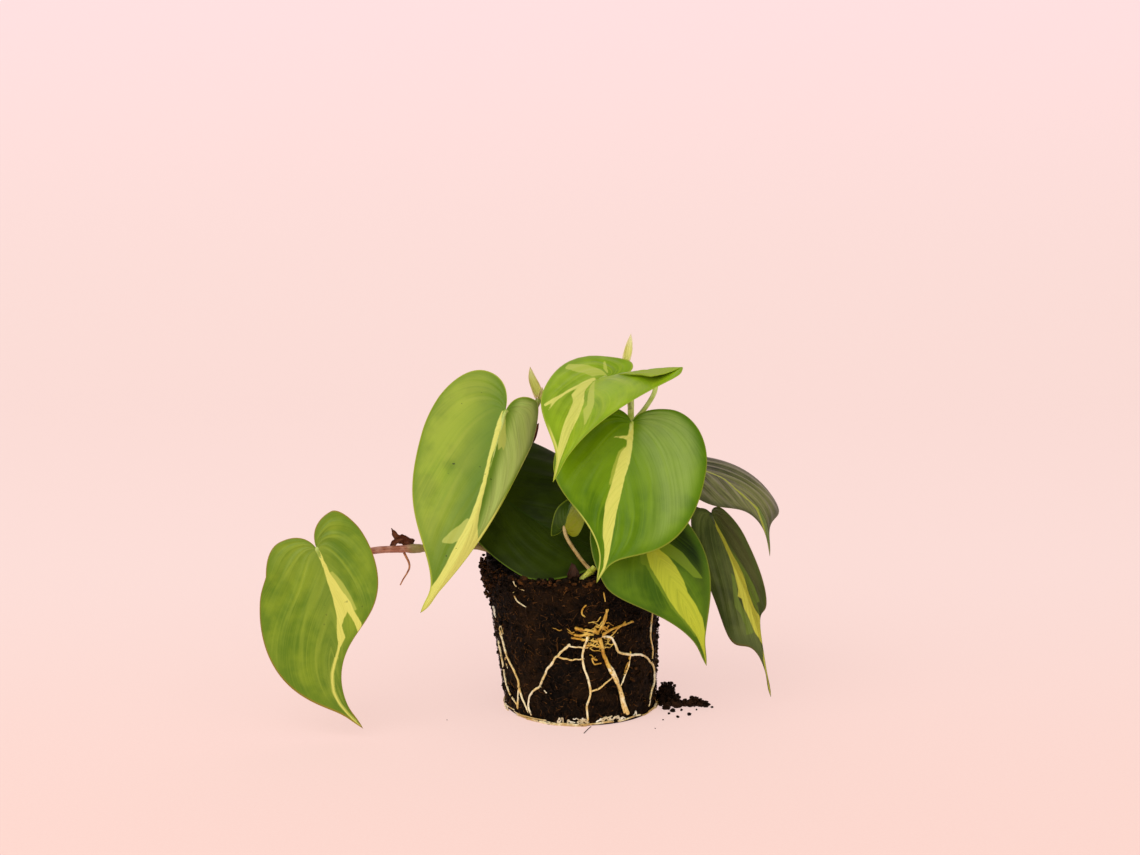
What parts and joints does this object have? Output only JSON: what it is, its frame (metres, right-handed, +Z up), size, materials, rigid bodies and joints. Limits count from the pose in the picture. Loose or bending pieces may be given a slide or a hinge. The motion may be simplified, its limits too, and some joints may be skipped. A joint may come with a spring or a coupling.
{
  "type": "heartleaf philodendron on bare root ball",
  "caption": "Young trailing houseplant with variegated heart-shaped leaves, lifted from its pot and standing on its moulded root ball of dark peat and pale roots",
  "frame": {"origin": "the middle of the root ball's flat foot, on the floor", "axes": "+X to the right, +Y to the back, +Z up, with the widest leaves facing -Y"},
  "size_m": [0.2707, 0.1084, 0.1953],
  "materials": {
    "peat": "matte",
    "yellow_root": "satin",
    "pale_root": "satin",
    "brown_sheath": "matte",
    "pale_sheath": "satin",
    "red_stem": "satin",
    "green_stem": "satin",
    "leaf_far_left": "satin",
    "leaf_big_left": "satin",
    "leaf_top": "satin",
    "leaf_centre": "satin",
    "leaf_back": "satin",
    "leaf_low_right": "satin",
    "leaf_right_hanging": "satin",
    "leaf_right_upper": "satin",
    "leaf_young": "satin"
  },
  "bodies": {
    "root": {"root_ball": "peat", "soil_heap": "peat", "soil_clump": "peat", "root_ring": "pale_root", "roots_front": "yellow_root", "roots_left": "pale_root", "root_right": "pale_root", "roots_back": "pale_root", "root_aerial": "yellow_root", "vine_left": "red_stem", "vine_back": "green_stem", "vine_centre": "green_stem", "vine_right": "green_stem", "vine_young": "pale_sheath", "sheath_left": "pale_sheath", "sheath_top": "pale_sheath", "sheath_dead": "brown_sheath", "sheath_soil": "brown_sheath", "leaf_far_left": "leaf_far_left", "leaf_big_left": "leaf_big_left", "leaf_top": "leaf_top", "leaf_centre": "leaf_centre", "leaf_back": "leaf_back", "leaf_low_right": "leaf_low_right", "leaf_right_hanging": "leaf_right_hanging", "leaf_right_upper": "leaf_right_upper", "leaf_young": "leaf_young"}
  },
  "joints": []
}
